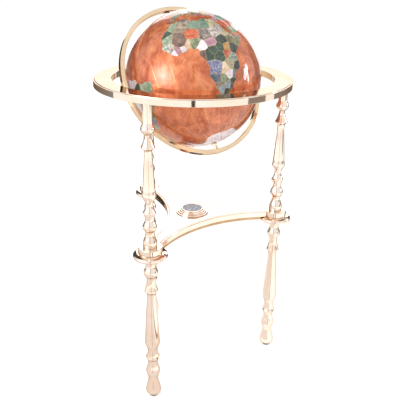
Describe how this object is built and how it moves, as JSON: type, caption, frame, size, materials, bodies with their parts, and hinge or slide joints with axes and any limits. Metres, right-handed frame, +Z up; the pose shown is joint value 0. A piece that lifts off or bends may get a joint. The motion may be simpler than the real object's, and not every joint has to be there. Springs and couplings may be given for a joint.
{
  "type": "stone globe on a three-legged floor stand",
  "caption": "Stone-veneered globe that spins in a tilting meridian ring, on turned legs with a horizon ring, a hollow-sided shelf and a compass.",
  "frame": {"origin": "on the floor, under the middle of the object's box; the stand's own axis is 12.7 mm towards -Y because the back leg's flange reaches past the ring", "axes": "+Z up; one leg stands at +Y (the back), the other two at 210 and 330 degrees; the meridian ring tilts about X"},
  "size_m": [0.4796, 0.505, 0.9506],
  "materials": {
    "polished_gold": "polished pale gold plate",
    "steel": "plain threaded rod",
    "bronze": "turned bearing bronze",
    "stone": "copper brown stone with inlaid gemstone continents under clear gloss lacquer",
    "resin": "cast resin",
    "felt": "felt",
    "dial": "blue grey printed dial",
    "needle": "painted steel",
    "glass": "clear"
  },
  "bodies": {
    "stand": {"horizon_ring": "polished_gold", "shelf_plate": "polished_gold", "shelf_subplate": "polished_gold", "shelf_band_left": "polished_gold", "shelf_band_front": "polished_gold", "shelf_band_right": "polished_gold", "compass_bezel": "polished_gold", "gimbal_pin_east": "polished_gold", "gimbal_pin_west": "polished_gold", "upper_leg_back": "polished_gold", "lower_leg_back": "polished_gold", "flange_back": "polished_gold", "boss_back": "polished_gold", "upper_leg_left": "polished_gold", "lower_leg_left": "polished_gold", "flange_left": "polished_gold", "boss_left": "polished_gold", "upper_leg_right": "polished_gold", "lower_leg_right": "polished_gold", "flange_right": "polished_gold", "boss_right": "polished_gold", "tie_rod_back": "steel", "ring_stud_back": "steel", "foot_pad_back": "felt", "tie_rod_left": "steel", "ring_stud_left": "steel", "foot_pad_left": "felt", "tie_rod_right": "steel", "ring_stud_right": "steel", "foot_pad_right": "felt", "compass_pivot": "bronze", "compass_dial": "dial", "compass_glass": "glass"},
    "meridian": {"meridian_ring": "polished_gold", "pole_screw_north": "polished_gold", "pole_screw_south": "polished_gold", "pole_spacer_north": "polished_gold", "pole_spacer_south": "polished_gold", "gimbal_bush_east": "bronze", "gimbal_bush_west": "bronze"},
    "globe": {"stone_veneer": "stone", "ball_core_north": "resin", "ball_core_south": "resin", "ball_hub_north": "bronze", "ball_hub_south": "bronze"},
    "needle": {"compass_needle": "needle"}
  },
  "joints": [
    {"name": "gimbal_tilt", "type": "hinge", "parent": "stand", "child": "meridian", "pos_m": [0, -0.0127, 0.7865], "axis": [1, 0, 0], "continuous": true},
    {"name": "globe_spin", "type": "hinge", "parent": "meridian", "child": "globe", "pos_m": [0, -0.0127, 0.7865], "axis": [0, 0.5592, 0.829], "continuous": true},
    {"name": "needle_swing", "type": "hinge", "parent": "stand", "child": "needle", "pos_m": [0, -0.0127, 0.4462], "axis": [0, 0, 1], "continuous": true}
  ]
}
